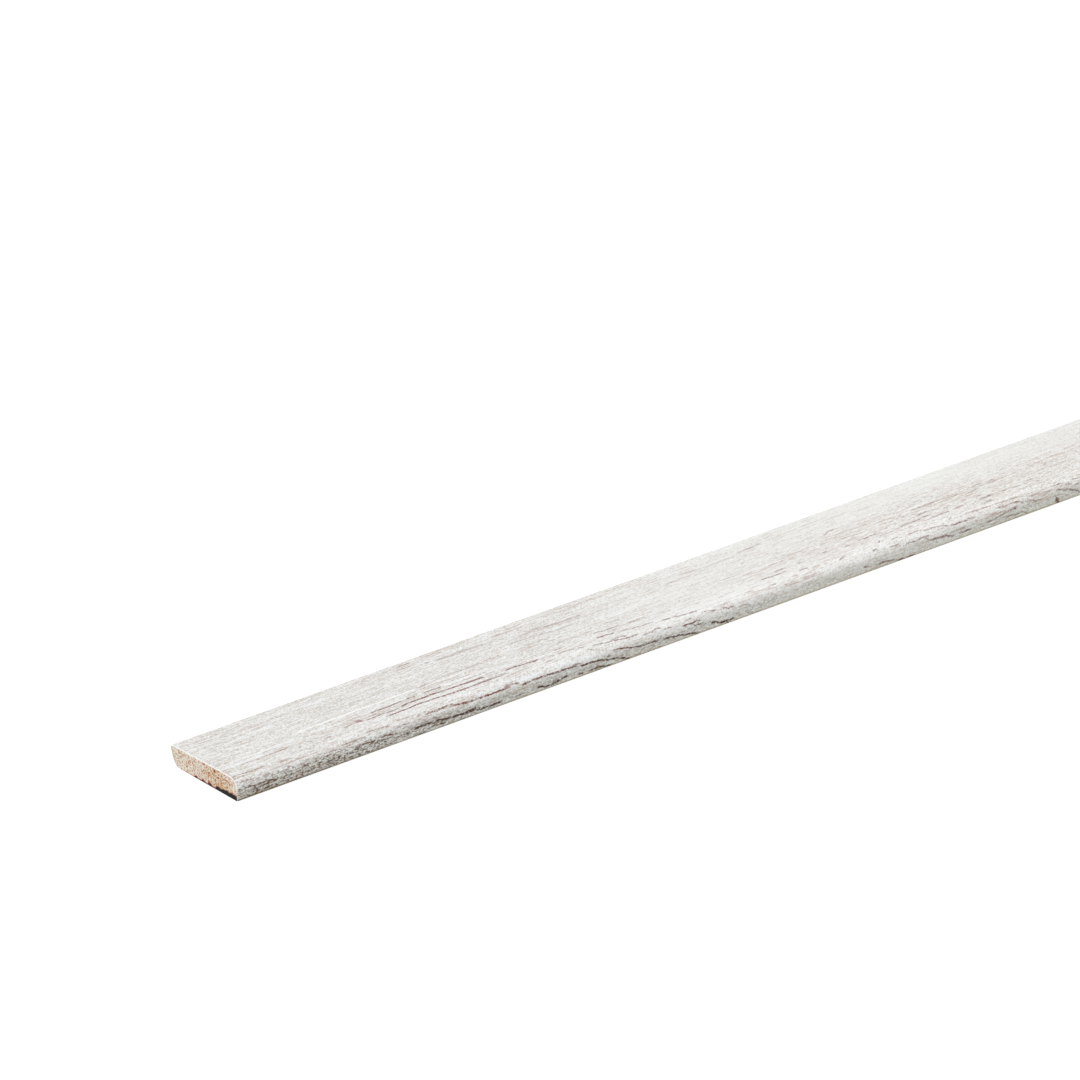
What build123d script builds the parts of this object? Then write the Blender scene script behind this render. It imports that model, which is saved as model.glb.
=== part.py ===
from build123d import *
import math
import os

# Foil-wrapped skirting board, a length of moulding lying on its back with its face up: a machined
# fibreboard core with a printed decor foil wrapped round its face and both edges. X runs along the
# board, Y from the rounded top edge (-Y) to the floor edge (+Y), and Z from the back, which goes
# against the wall, to the face. The origin is the middle of the back. Sizes in millimetres and degrees.

# Driving dimensions of the finished board, over the foil.
LENGTH = 2400.0  # a full length as sold
WIDTH = 56.0  # height of the skirting on the wall
THICKNESS = 12.0  # back to face, at the crest where the face meets the nose
NOSE_RADIUS = 7.0  # rounding of the top edge
FACE_FALL = 0.8  # how far the crowned face falls from the crest to the floor edge
ARRIS_RADIUS = 1.5  # rounding between the face and the floor edge
FLOOR_LEAN = 12.0  # how far the floor edge leans in where it leaves that rounding
UNDERCUT = 6.2  # how far the floor edge runs in under the face, at the back
FOIL = 0.5  # thickness of the decor foil
FOIL_TRIM = 0.5  # how far short of the back the foil is trimmed

# The core, which the foil wraps on three sides.
core_nose_y = -WIDTH / 2 + FOIL
core_floor_y = WIDTH / 2 - FOIL
core_top = THICKNESS - FOIL
nose_radius = NOSE_RADIUS - FOIL
arris_radius = ARRIS_RADIUS - FOIL

nose_foot = (core_nose_y, 0)
nose_start = (core_nose_y, core_top - nose_radius)
crest = (core_nose_y + nose_radius, core_top)
floor_foot = (core_floor_y - UNDERCUT, 0)

# The face is one wide arc that leaves the crest level and runs smoothly into the arris.
arris_center = (core_floor_y - arris_radius, core_top - FACE_FALL - arris_radius)
run = arris_center[0] - crest[0]
drop = core_top - arris_center[1]
crown_radius = (run**2 + drop**2 - arris_radius**2) / (2 * FACE_FALL)
crown_center = (crest[0], core_top - crown_radius)
crown_turn = math.degrees(math.asin(run / (crown_radius - arris_radius)))

# Fibreboard core: a flat back, an upright foot, a nose rounded over to the crest, the crowned face,
# and a floor edge that curves in under the face.
with BuildPart() as core:
    with BuildSketch(Plane.YZ) as core_section:
        with BuildLine():
            Line(nose_foot, nose_start)
            TangentArc(nose_start, crest, tangent=(0, 1))
            CenterArc(crown_center, crown_radius, start_angle=90, arc_size=-crown_turn)
            arris_turn = 90 - crown_turn + FLOOR_LEAN
            arris = CenterArc(arris_center, arris_radius, start_angle=90 - crown_turn, arc_size=-arris_turn)
            TangentArc(arris @ 1, floor_foot, tangent=arris % 1)
            Line(floor_foot, nose_foot)
        make_face()
    extrude(amount=LENGTH / 2, both=True)
core.part.label = "fibreboard_core"

# Decor foil: one even layer over the nose, the face and the floor edge, trimmed just short of the back.
with BuildPart() as foil:
    with BuildSketch(Plane.YZ):
        offset(core_section.sketch_local, amount=FOIL, kind=Kind.ARC)
        add(core_section.sketch_local, mode=Mode.SUBTRACT)
    extrude(amount=LENGTH / 2, both=True)
    split(bisect_by=Plane.XY.offset(FOIL_TRIM), keep=Keep.TOP)
foil.part.label = "decor_foil"

os.makedirs("parts", exist_ok=True)
for piece in (core.part, foil.part):
    export_step(piece, f"parts/{piece.label}.step")
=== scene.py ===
"""Looks of the foil-wrapped skirting board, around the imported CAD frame.

Every piece is in metres, in the CAD frame: X along the board, Y from the rounded top edge (-Y) to the
floor edge (+Y), Z up from the back to the face. The print on the foil is drawn in millimetres on the
unrolled foil: how far along the board from the near end, and how far round the section from the foot
of the nose.
"""

import math
import random

import bmesh
import bpy
from mathutils import Matrix, Vector, noise
from mathutils.geometry import delaunay_2d_cdt


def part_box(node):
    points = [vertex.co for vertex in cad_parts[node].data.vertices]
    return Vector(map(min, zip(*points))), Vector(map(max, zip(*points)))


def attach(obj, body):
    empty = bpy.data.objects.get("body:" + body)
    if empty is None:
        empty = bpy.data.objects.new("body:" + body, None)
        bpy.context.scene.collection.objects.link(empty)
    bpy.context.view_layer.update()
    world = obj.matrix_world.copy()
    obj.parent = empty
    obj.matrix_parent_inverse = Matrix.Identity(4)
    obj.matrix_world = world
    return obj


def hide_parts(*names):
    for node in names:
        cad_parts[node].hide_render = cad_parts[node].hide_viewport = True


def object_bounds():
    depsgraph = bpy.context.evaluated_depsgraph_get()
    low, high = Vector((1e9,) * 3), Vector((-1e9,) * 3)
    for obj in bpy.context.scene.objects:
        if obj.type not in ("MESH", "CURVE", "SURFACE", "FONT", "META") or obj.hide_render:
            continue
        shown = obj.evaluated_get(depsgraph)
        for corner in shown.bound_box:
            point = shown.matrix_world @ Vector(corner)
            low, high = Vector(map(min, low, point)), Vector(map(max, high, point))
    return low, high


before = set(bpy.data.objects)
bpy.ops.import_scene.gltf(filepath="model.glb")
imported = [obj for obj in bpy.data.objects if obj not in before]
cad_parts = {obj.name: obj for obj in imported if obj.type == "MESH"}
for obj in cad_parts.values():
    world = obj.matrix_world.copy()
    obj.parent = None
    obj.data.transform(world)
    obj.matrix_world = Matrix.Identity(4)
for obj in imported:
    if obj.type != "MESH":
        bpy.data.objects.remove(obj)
cad_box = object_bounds()

MM = 0.001

# Section of the board: from the frame where the frame gives it, and over the foil as the CAD drives it.
cad_low, cad_high = cad_box
core_low, core_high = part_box("fibreboard_core")
foil_low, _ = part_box("decor_foil")
NEAR_END = cad_low[0]
FAR_END = cad_high[0]
LENGTH = FAR_END - NEAR_END
FOIL = core_low[1] - foil_low[1]
FOIL_TRIM = foil_low[2]
CORE_NOSE = core_low[1]
CORE_FLOOR = core_high[1]
CORE_TOP = core_high[2]
NOSE_RADIUS = 7 * MM
FACE_FALL = 0.8 * MM
ARRIS_RADIUS = 1.5 * MM
FLOOR_LEAN = 12
UNDERCUT = 6.2 * MM

# The photograph's view: angles in degrees, the sensor in millimetres, the rest in pixels and in metres.
VIEW_AZIMUTH = -39.216
VIEW_ELEVATION = 25.733
PHOTO_SIDE = 1080
FOCAL_PIXELS = 11828
SENSOR_WIDTH = 36
CORNER_PIXEL = (237.63, 801.78)
CORNER_DEPTH = 6.0451
VIEW_REACH = 100

# The print repeats along the foil, in millimetres: its shades in step, and its drawn marks on a length
# of their own, higher up the board each time and back to the foot at the top.
SHADE_REPEAT = 800
MARK_REPEAT = 624
MARK_CLIMB = 21
MARK_WRAP = 66
SHEET_HEIGHT = 80


def paint(red, green, blue):
    """A colour picked on screen, 0 to 255, as the linear colour that shaders take."""
    def linear(value):
        share = value / 255
        return share / 12.92 if share <= 0.04045 else ((share + 0.055) / 1.055) ** 2.4

    return (linear(red), linear(green), linear(blue), 1)


class Recipe:
    """The nodes of a material or a world, wired by short calls that take sockets or plain values."""

    def __init__(self, owner):
        self.owner = owner
        owner.use_nodes = True
        self.tree = owner.node_tree
        self.tree.nodes.clear()

    def wire(self, kind, inputs, **settings):
        """A new node with these links or values on its sockets. Gives its outputs."""
        made = self.tree.nodes.new(kind)
        for key, value in settings.items():
            setattr(made, key, value)
        for socket, value in inputs.items():
            if isinstance(value, bpy.types.NodeSocket):
                self.tree.links.new(value, made.inputs[socket])
            else:
                made.inputs[socket].default_value = value
        return made.outputs

    def math(self, operation, *values):
        return self.wire("ShaderNodeMath", dict(enumerate(values)), operation=operation)[0]

    def plus(self, first, second):
        return self.math("ADD", first, second)

    def minus(self, first, second):
        return self.math("SUBTRACT", first, second)

    def times(self, first, second):
        return self.math("MULTIPLY", first, second)

    def over(self, first, second):
        return self.math("DIVIDE", first, second)

    def attribute(self, name):
        return self.wire("ShaderNodeAttribute", {}, attribute_name=name)

    def place(self):
        """Object coordinates, which are the CAD frame's, in millimetres."""
        return self.stretch(self.wire("ShaderNodeTexCoord", {})["Object"], (1 / MM, 1 / MM, 1 / MM))

    def split(self, vector):
        return self.wire("ShaderNodeSeparateXYZ", {0: vector})

    def join(self, x, y):
        return self.wire("ShaderNodeCombineXYZ", {0: x, 1: y})[0]

    def stretch(self, vector, factors):
        return self.wire("ShaderNodeVectorMath", {0: vector, 1: factors}, operation="MULTIPLY")[0]

    def noise(self, vector, size, seed, detail=2.0, roughness=0.6):
        """Noise from 0 to 1 whose blotches measure about size, along the first axes of the vector."""
        factors = [1 / s for s in size] + [0.0] * (3 - len(size))
        inputs = {"Vector": self.stretch(vector, factors), "W": seed, "Scale": 1}
        inputs |= {"Detail": detail, "Roughness": roughness}
        return self.wire("ShaderNodeTexNoise", inputs, noise_dimensions="4D")["Fac"]

    def swing(self, vector, size, amount, seed):
        """Noise that swings evenly about 0, seldom further than half the amount."""
        return self.times(self.minus(self.noise(vector, size, seed, detail=1.5), 0.5), amount)

    def ramp(self, value, low, high, start=0.0, end=1.0):
        """Goes smoothly from start to end as value goes from low to high."""
        inputs = dict(enumerate((value, low, high, start, end)))
        return self.wire("ShaderNodeMapRange", inputs, interpolation_type="SMOOTHSTEP")[0]

    def patch(self, x, y, center, half_size):
        """A soft oval patch: 1 in its middle and 0 at its rim."""
        x = self.over(self.minus(x, center[0]), half_size[0])
        y = self.over(self.minus(y, center[1]), half_size[1])
        away = self.math("SQRT", self.plus(self.math("POWER", x, 2.0), self.math("POWER", y, 2.0)))
        return self.ramp(away, 0.2, 1.0, 1.0, 0.0)

    def curves(self, kind, socket, value, drawn):
        """Curves that read the value. Each is drawn by points between 0 and 1, and names its handles."""
        result = self.wire(kind, {socket: value})[0]
        mapping = result.node.mapping
        for curve, (points, handle) in zip(mapping.curves, drawn):
            while len(curve.points) > 2:
                curve.points.remove(curve.points[1])
            for index in (0, -1):
                curve.points[index].location = points[index]
            for point in points[1:-1]:
                curve.points.new(*point)
            for point in curve.points:
                point.handle_type = handle
        mapping.extend = "HORIZONTAL"
        mapping.update()
        return result

    def blend(self, amount, first, second, mode="MIX"):
        inputs = {"Factor": amount, 6: first, 7: second}
        return self.wire("ShaderNodeMix", inputs, data_type="RGBA", blend_type=mode)[2]

    def finish(self, color, roughness, height, bump_distance, specular):
        """Wires the surface: colour, roughness and a bump whose height is in units of its distance."""
        bump = self.wire("ShaderNodeBump", {"Strength": 1, "Distance": bump_distance, "Height": height})[0]
        inputs = {"Base Color": color, "Roughness": roughness, "Specular IOR Level": specular}
        surface = self.wire("ShaderNodeBsdfPrincipled", inputs | {"Normal": bump})[0]
        self.wire("ShaderNodeOutputMaterial", {0: surface})
        return self.owner


# Section

FOOT_STEPS = 8
LEAST_ARC_STEPS = 12


def arc(center, radius, start, end, steps):
    """Points on an arc between two angles in degrees."""
    angles = [math.radians(start + (end - start) * i / steps) for i in range(steps + 1)]
    return [(center[0] + radius * math.cos(a), center[1] + radius * math.sin(a)) for a in angles]


def wrapped_line(skin, foot, fineness):
    """The section's line from the nose's foot over the face to the foot of the floor edge.

    skin is how far outside the core the line lies, foot how far above the back it starts and ends,
    and fineness the length of its steps.
    """
    nose = NOSE_RADIUS - FOIL
    crest = CORE_NOSE + nose
    nose_start = CORE_TOP - nose

    arris = ARRIS_RADIUS - FOIL
    arris_center = (CORE_FLOOR - arris, CORE_TOP - FACE_FALL - arris)
    run = arris_center[0] - crest
    drop = CORE_TOP - arris_center[1]
    crown = (run ** 2 + drop ** 2 - arris ** 2) / (2 * FACE_FALL)
    crown_turn = math.degrees(math.asin(run / (crown - arris)))

    lean = math.radians(FLOOR_LEAN)
    inward = Vector((-math.cos(lean), math.sin(lean)))
    leaves = Vector(arris_center) - arris * inward
    across = Vector((CORE_FLOOR - UNDERCUT, 0)) - leaves
    floor_edge = across.length_squared / (2 * across.dot(inward))
    floor_center = leaves + floor_edge * inward
    floor_end = math.degrees(math.asin((floor_center[1] - foot) / (floor_edge + skin)))

    bends = [
        ((crest, nose_start), nose, 180, 90),
        ((crest, CORE_TOP - crown), crown, 90, 90 - crown_turn),
        (arris_center, arris, 90 - crown_turn, -FLOOR_LEAN),
        (floor_center, floor_edge, -FLOOR_LEAN, -floor_end),
    ]
    line = [(CORE_NOSE - skin, foot + (nose_start - foot) * i / FOOT_STEPS) for i in range(FOOT_STEPS + 1)]
    for center, radius, start, end in bends:
        length = math.radians(start - end) * (radius + skin)
        line += arc(center, radius + skin, start, end, max(LEAST_ARC_STEPS, round(length / fineness)))[1:]
    return line


# Meshes and their bake maps

BAKE_LENGTH = (0.006, 0.994)


def within(strip, share):
    """The value that lies this share of the way through a strip."""
    return strip[0] + (strip[1] - strip[0]) * share


def row_strip(whole, rows, row):
    """The strip of one of the rows that share a whole strip."""
    return (within(whole, row / rows), within(whole, (row + 1) / rows))


def oblong(strip, left, right, low, high):
    """An oblong of a strip of the bake map: its corners, from the lower left by the lower right one."""
    corners = ((left, low), (right, low), (right, high), (left, high))
    return [(within(BAKE_LENGTH, along), within(strip, level)) for along, level in corners]


def turned(corners):
    """The same corners from the same first one, taken the other way round."""
    return corners[:1] + corners[:0:-1]


def add_face(build, bake, corners, places, slot, smooth):
    """A face, with the place of each corner in the bake map."""
    made = build.faces.new(corners)
    made.material_index = slot
    made.smooth = smooth
    for corner, place in zip(made.loops, places):
        corner[bake].uv = place


def finished(build, name):
    """The built mesh. The shading of one material doesn't run on round the edge of the next."""
    for edge in build.edges:
        edge.smooth = len({face.material_index for face in edge.link_faces}) == 1
    mesh = bpy.data.meshes.new(name)
    build.to_mesh(mesh)
    build.free()
    return mesh


# Decor foil

FOIL_STEP = 0.6 * MM
FOIL_ROWS = 5
RINGS_PER_ROW = 24
PRINT_SLOT = 0
PAPER_SLOT = 1

# The foil's bake map is cut into rows along the board, and each has a strip for every side of the foil.
PRINT_STRIP = (0.02, 0.92)
GLUED_STRIP = (0.935, 0.965)
EDGE_STRIPS = ((0.97, 0.974), (0.975, 0.979))
CUT_STRIPS = ((0.984, 0.988), (0.992, 0.996))


def outside_to_core(outside):
    """The inner line of the foil: each outer point moved in by its thickness, square to the line."""
    inner = []
    last = len(outside) - 1
    for index, point in enumerate(outside):
        before = Vector(outside[max(index - 1, 0)])
        after = Vector(outside[min(index + 1, last)])
        along = (after - before).normalized()
        inward = Vector((along[1], -along[0]))
        inner.append(tuple(Vector(point) + inward * FOIL))
    return inner


def foil_mesh():
    """A closed skin along the board, with where each point lies on the unrolled foil."""
    outside = wrapped_line(FOIL, FOIL_TRIM, FOIL_STEP)
    inside = outside_to_core(outside)
    count = len(outside)
    around = [0.0]
    for before, after in zip(outside, outside[1:]):
        around.append(around[-1] + math.dist(before, after))
    rings = FOIL_ROWS * RINGS_PER_ROW
    build = bmesh.new()
    unrolled = build.verts.layers.float_vector.new("unrolled")
    bake = build.loops.layers.uv.new("OFBake")
    loops = []
    for ring in range(rings + 1):
        x = NEAR_END + LENGTH * ring / rings
        loop = []
        for index, (y, z) in enumerate(outside + inside):
            point = build.verts.new((x, y, z))
            point[unrolled] = ((x - NEAR_END) / MM, (FOIL_TRIM + around[index % count]) / MM, 0)
            loop.append(point)
        loops.append(loop)

    def paper_face(here, there, a, b, places):
        add_face(build, bake, (here[a], here[b], there[b], there[a]), turned(places), PAPER_SLOT, False)

    long_edges = ((0, count), (2 * count - 1, count - 1))
    for ring in range(rings):
        row, step = divmod(ring, RINGS_PER_ROW)
        strip = row_strip((0, 1), FOIL_ROWS, row)
        left, right = step / RINGS_PER_ROW, (step + 1) / RINGS_PER_ROW
        here, there = loops[ring], loops[ring + 1]
        for k in range(count - 1):
            low = within(PRINT_STRIP, around[k] / around[-1])
            high = within(PRINT_STRIP, around[k + 1] / around[-1])
            corners = (here[k], there[k], there[k + 1], here[k + 1])
            add_face(build, bake, corners, oblong(strip, left, right, low, high), PRINT_SLOT, True)
            low, high = within(GLUED_STRIP, k / count), within(GLUED_STRIP, (k + 1) / count)
            paper_face(here, there, count + k, count + k + 1, oblong(strip, left, right, low, high))
        for (a, b), levels in zip(long_edges, EDGE_STRIPS):
            paper_face(here, there, a, b, oblong(strip, left, right, *levels))
    for end, loop in enumerate((loops[0], loops[-1])):
        for k in range(count - 1):
            corners = [loop[k], loop[k + 1], loop[count + k + 1], loop[count + k]]
            places = oblong((0, 1 / FOIL_ROWS), k / count, (k + 1) / count, *CUT_STRIPS[end])
            if end:
                corners.reverse()
                places.reverse()
            add_face(build, bake, corners, places, PAPER_SLOT, False)
    return finished(build, "decor_foil_skin")


# Main marks of the print, drawn one by one: points (along, round) in millimetres, half width, and darkness.
VEINS = [
    # low on the nose
    ([(8, 4.2), (14, 4.2), (20, 4.4)], 0.6, 0.6),
    ([(8, 6.2), (14, 6), (21, 5.8)], 0.6, 0.3),
    ([(30, 6.5), (33, 5.4)], 0.6, 0.6),
    ([(33, 4.9), (36, 4.7)], 0.7, 0.7),
    ([(31, 2.1), (34, 1.8)], 0.7, 0.7),
    ([(42, 6.7), (47, 6.5)], 0.8, 0.6),
    ([(57, 4), (63, 4.3)], 0.8, 0.55),
    ([(64, 4.6), (68, 4.6)], 0.7, 0.6),
    ([(60, 2.3), (64, 2.2)], 0.5, 0.55),
    ([(72, 4.5), (75, 4.5)], 0.8, 0.6),
    ([(72, 2), (76, 2)], 0.8, 0.55),
    ([(77, 5), (80, 5)], 0.6, 0.55),
    ([(92, 5.1), (97, 5)], 0.6, 0.55),
    ([(103, 4), (110, 3.8), (114, 3.4)], 0.55, 0.6),
    ([(115, 4.9), (118, 5.1), (126, 5.1), (129, 4.6), (132, 4.9), (134, 4.4), (141, 4)], 0.9, 0.95),
    ([(139, 4), (146, 3.6), (150, 3.3)], 0.9, 0.85),
    ([(148, 3.4), (152, 3.5), (155, 3.8), (160, 3.1)], 1.2, 0.8),
    ([(156, 3), (161, 2.5), (164, 2.7), (166, 2.2), (170, 2.6), (175, 2.4)], 0.75, 0.9),
    ([(132, 2.4), (137, 2.3)], 0.65, 0.75),
    ([(178, 3.5), (182, 2.9)], 0.5, 0.45),
    ([(182, 2.2), (186, 2.7), (190, 2.7)], 0.55, 0.65),
    ([(197, 2.7), (199, 2.9), (201, 2.6), (203, 1.6), (207, 1.8), (213, 2.5),
      (215, 3.3), (219, 3.4)], 0.75, 0.95),
    ([(207, 2.9), (213, 3)], 0.8, 0.8),
    ([(225, 2), (229, 1.9)], 0.65, 0.9),
    ([(232, 1.5), (235, 1.8), (241, 1.9), (243, 1.3), (249, 0.8)], 0.65, 0.9),
    ([(282, 4.6), (284, 4.3), (288, 4.4), (290, 3.8), (294, 3.5), (298, 2.4),
      (300, 2.4), (308, 0.7)], 0.7, 0.85),
    ([(303, 6.6), (306, 5.9), (311, 5.7)], 0.5, 0.75),
    ([(315, 4.2), (318, 3.7), (320, 2.9), (322, 2), (327, 1.9), (332, 2)], 0.75, 0.95),
    ([(326, 1.8), (328, 0.4)], 0.8, 0.8),
    ([(342, 5.2), (348, 4.5), (354, 3.7)], 0.5, 0.2),
    ([(421, 4.1), (425, 3.8)], 0.8, 0.65),
    ([(430, 2.6), (436, 2.9), (439, 2.4), (447, 1.1)], 0.7, 0.55),
    ([(445, 0.8), (451, 0.7)], 0.8, 1),
    ([(451, 0.6), (458, 0.6)], 0.8, 1),
    ([(467, 5.9), (473, 5.4), (476, 5.1), (479, 5.2), (481, 4.3), (486, 3.5)], 0.75, 0.6),
    ([(482, 6), (486, 6.1), (489, 5.8), (494, 5.7)], 0.55, 0.4),
    ([(488, 3.9), (492, 3.5), (495, 3.8), (498, 3.2)], 0.75, 0.6),
    ([(503, 3), (507, 2.8)], 0.6, 0.45),
    ([(507, 3.8), (510, 4.1), (515, 4.6), (520, 5.6), (525, 6.2), (531, 7)], 0.75, 0.55),
    ([(511, 1.8), (519, 2)], 0.5, 0.45),
    ([(521, 2.8), (525, 3), (529, 2.7), (533, 2.9), (535, 2), (539, 0.5)], 0.65, 0.5),
    ([(534, 5.6), (539, 3.4)], 0.5, 0.3),
    ([(557, 3.2), (560.4, 1.2)], 2.7, 1),
    ([(557, 7.8), (561, 7.6), (564, 6.6), (567, 6.2), (569, 5), (571, 4.6),
      (573, 3.6), (576, 1.8)], 0.75, 0.5),
    ([(584, 3.2), (598, 2.5)], 0.7, 0.6),

    # round the nose
    ([(0, 13.6), (5, 14.4), (9, 14), (12, 13.8), (20, 13.9), (24, 13.3)], 0.5, 0.5),
    ([(30, 12.8), (40, 12.8)], 0.45, 0.4),
    ([(51, 14.5), (55, 14.3)], 0.5, 0.35),
    ([(2, 9.5), (5, 9.8), (12, 9.5)], 0.6, 0.45),
    ([(17, 9.2), (22, 9.3)], 0.5, 0.55),
    ([(33, 9), (36, 9)], 0.5, 0.5),
    ([(55, 7.7), (58, 7.5), (62, 7.8)], 0.5, 0.55),
    ([(69, 9.8), (78, 9.8), (86, 9.9)], 0.5, 0.4),
    ([(76, 6.3), (81, 6.7), (85, 6.5), (88, 6.3), (91, 6.6)], 0.55, 0.75),
    ([(93, 6.7), (98, 6.9), (101, 6.3), (103, 6.1)], 0.6, 0.75),
    ([(85, 11.8), (93, 11.7), (102, 11)], 0.5, 0.4),
    ([(103, 8.7), (108, 9), (115, 9.1)], 0.45, 0.35),
    ([(119, 10.9), (122, 10.8)], 0.6, 0.45),
    ([(115, 7), (121, 6.8), (127, 6.8), (132, 6.5)], 0.5, 0.4),
    ([(124, 10.1), (127, 10.4), (131, 10.1), (136, 10.3), (142, 10.5), (144, 9.6),
      (151, 9), (154, 8.7)], 0.65, 0.7),
    ([(152, 8.8), (158, 8.8), (163, 8.6), (172, 8.7), (181, 8.7)], 0.65, 0.7),
    ([(176, 9.4), (180, 9.8), (184, 9.5), (187, 8.8)], 0.8, 0.6),
    ([(187, 7.8), (190, 7.5), (196, 8), (201, 8), (210, 7.6), (220, 7.4),
      (224, 7.1), (226, 6.5)], 0.65, 0.75),
    ([(221, 7.9), (224, 8.1), (228, 7.3)], 0.5, 0.6),
    ([(225, 6.5), (230, 6.3), (235, 6.1), (240, 5.7), (245, 4.3), (249, 3.8),
      (255, 2.3), (261, 0.7)], 0.65, 0.9),
    ([(244, 6.3), (248, 6.1)], 0.55, 0.55),
    ([(248, 8.7), (254, 8), (257, 7.4), (260, 6.7), (264, 6), (267, 5.5),
      (275, 5.2), (280, 4.9)], 0.6, 0.8),
    ([(270, 10.8), (275, 10.6), (278, 10.8), (281, 11.4), (284, 10.6)], 0.7, 0.5),
    ([(283, 9.1), (287, 9.4), (291, 9.4)], 0.45, 0.5),
    ([(298, 10), (303, 10.2), (305, 10.8)], 0.45, 0.5),
    ([(296, 7.7), (300, 7.8), (303, 7.6), (306, 7.8), (310, 7.4)], 0.6, 0.85),
    ([(311, 11.2), (315, 11.1)], 0.5, 0.45),
    ([(315, 11.2), (317, 10.4), (321, 9.9)], 0.5, 0.55),
    ([(324, 9.7), (326, 9.5), (328, 8.5), (331, 8.6), (333, 8)], 0.5, 0.65),
    ([(334, 7.1), (339, 7.1), (341, 6.8), (343, 6)], 0.5, 0.65),
    ([(286, 15.1), (295, 14.5), (299, 13.7), (304, 13.5), (310, 12.7)], 0.6, 0.5),
    ([(357, 12.5), (364, 12)], 0.45, 0.35),
    ([(367, 10), (370, 10)], 0.45, 0.4),
    ([(380, 9.1), (389, 9.2)], 0.5, 0.4),
    ([(381, 14.9), (384, 15.2), (388, 14.8)], 0.6, 0.5),
    ([(397, 13.3), (400, 13.4)], 0.5, 0.4),
    ([(407, 12.7), (413, 13.9)], 0.7, 0.45),
    ([(429, 10.9), (434, 11.2)], 0.5, 0.45),
    ([(436, 14.9), (439, 16.3)], 0.7, 0.5),
    ([(440, 9.7), (444, 9.6), (449, 9.8)], 0.5, 0.6),
    ([(444, 13.8), (450, 13.7)], 0.5, 0.4),
    ([(451, 8.3), (455, 8.4), (459, 8), (463, 8.6), (469, 8.3)], 0.6, 0.5),
    ([(465, 7.7), (468, 6.4)], 0.6, 0.4),
    ([(455, 13), (463, 13.2), (467, 12), (473, 11.7), (478, 11), (483, 9.6)], 0.5, 0.5),
    ([(483, 9.5), (487, 9.3), (490, 9.5), (495, 9.3), (497, 9.6), (502, 9.2)], 0.6, 0.55),
    ([(484, 13.2), (488, 14.7)], 0.7, 0.45),
    ([(491, 12.6), (501, 12.7), (506, 12.4), (513, 12.6)], 0.45, 0.35),
    ([(516, 12.3), (521, 12), (530, 12), (534, 11.4), (541, 9.9), (549, 9.3), (556, 8.5)], 0.45, 0.3),
    ([(516, 9.7), (520, 9.4), (530, 9.5), (534, 8.1), (537, 7.9), (541, 7.4),
      (543, 6.4), (548, 6.1)], 0.6, 0.45),
    ([(541, 6.3), (548, 6.1)], 0.7, 0.5),
    ([(556, 10.4), (562, 10.6), (565, 9.7), (570, 8.3)], 0.5, 0.5),
    ([(569, 11.1), (576, 9.9)], 0.45, 0.4),
    ([(571, 7.1), (575, 7.8)], 0.5, 0.45),
    ([(579, 8.2), (592, 7.6), (606, 8), (614, 7.2)], 0.55, 0.6),

    # on the face
    ([(11, 22), (20, 22.2), (29, 22.2)], 0.5, 0.35),
    ([(28, 22.4), (31, 22.2), (40, 22.1), (45, 22.7)], 0.6, 0.6),
    ([(29, 25.5), (33, 26), (40, 25.6)], 0.5, 0.3),
    ([(47, 18.7), (50, 19.4)], 0.6, 0.5),
    ([(55, 20.5), (58, 20.3)], 0.8, 0.35),
    ([(65, 18.4), (69, 18.8)], 0.5, 0.5),
    ([(74, 31.8), (80, 32.1)], 0.5, 0.35),
    ([(79, 21.6), (82, 22.1), (84, 22.4), (86, 21.9)], 0.7, 0.55),
    ([(87.8, 24.4), (89.6, 23.4), (92.6, 23)], 1.8, 0.55),
    ([(93, 21.4), (98, 21.6), (104, 22), (109, 21.7), (116, 21.8)], 0.6, 0.65),
    ([(100, 26.3), (106, 26.8), (112, 26.7), (116, 27.1), (123, 27.2)], 0.65, 0.75),
    ([(124, 27.4), (128, 27.6), (132, 27.6)], 0.65, 0.7),
    ([(136, 27.2), (141, 27.7), (144, 27.3), (149, 27.6)], 0.65, 0.65),
    ([(117, 22.1), (119, 22.7), (126, 23.4), (133, 23.4), (140, 23.5), (148, 23.2),
      (158, 22.5), (174, 21.9)], 0.8, 0.75),
    ([(104, 18.1), (111, 18.3), (120, 18.6), (128, 19.2), (131, 18.7), (135, 19),
      (140, 18.6), (145, 18)], 0.7, 0.75),
    ([(143, 18.2), (152, 17.7), (164, 17.6), (170, 17.9), (180, 17.8), (185, 18.3)], 0.7, 0.7),
    ([(138, 34), (141, 34.2), (144, 34.8)], 0.6, 0.55),
    ([(150, 36.4), (165, 36.2), (183, 35.6)], 0.5, 0.3),
    ([(150, 31), (158, 31.2), (166, 31)], 0.5, 0.25),
    ([(152, 29.4), (162, 29.4), (170, 29)], 0.5, 0.25),
    ([(150, 25.8), (164, 26), (178, 25.7)], 0.6, 0.3),
    ([(145, 60.2), (150, 60.7), (155, 60.4)], 0.6, 0.4),
    ([(159, 54.6), (163, 54.7)], 0.6, 0.35),
    ([(165, 53.6), (180, 53.6), (198, 52.8)], 1.5, 0.25),
    ([(185, 20.5), (189, 21), (193, 21.2), (196, 20.6), (200, 20.5), (204, 20), (208, 20.1)], 0.75, 0.75),
    ([(208, 20.1), (214, 19.5), (218, 18.9)], 0.6, 0.4),
    ([(219, 18.7), (225, 18.9), (228, 18.3), (231, 17.6)], 0.7, 0.5),
    ([(231, 17.1), (234, 17), (237, 16.1)], 0.6, 0.55),
    ([(208, 15), (214, 15.2)], 0.6, 0.5),
    ([(235, 14), (239, 11.5)], 0.8, 0.35),
    ([(239, 15.3), (243, 14.6), (247, 13.9), (254, 13.1), (258, 12.5), (264, 11.9), (269, 11.9)], 0.6, 0.5),
    ([(251, 13.8), (255, 14.5), (259, 14), (263, 13)], 0.7, 0.5),
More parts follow.
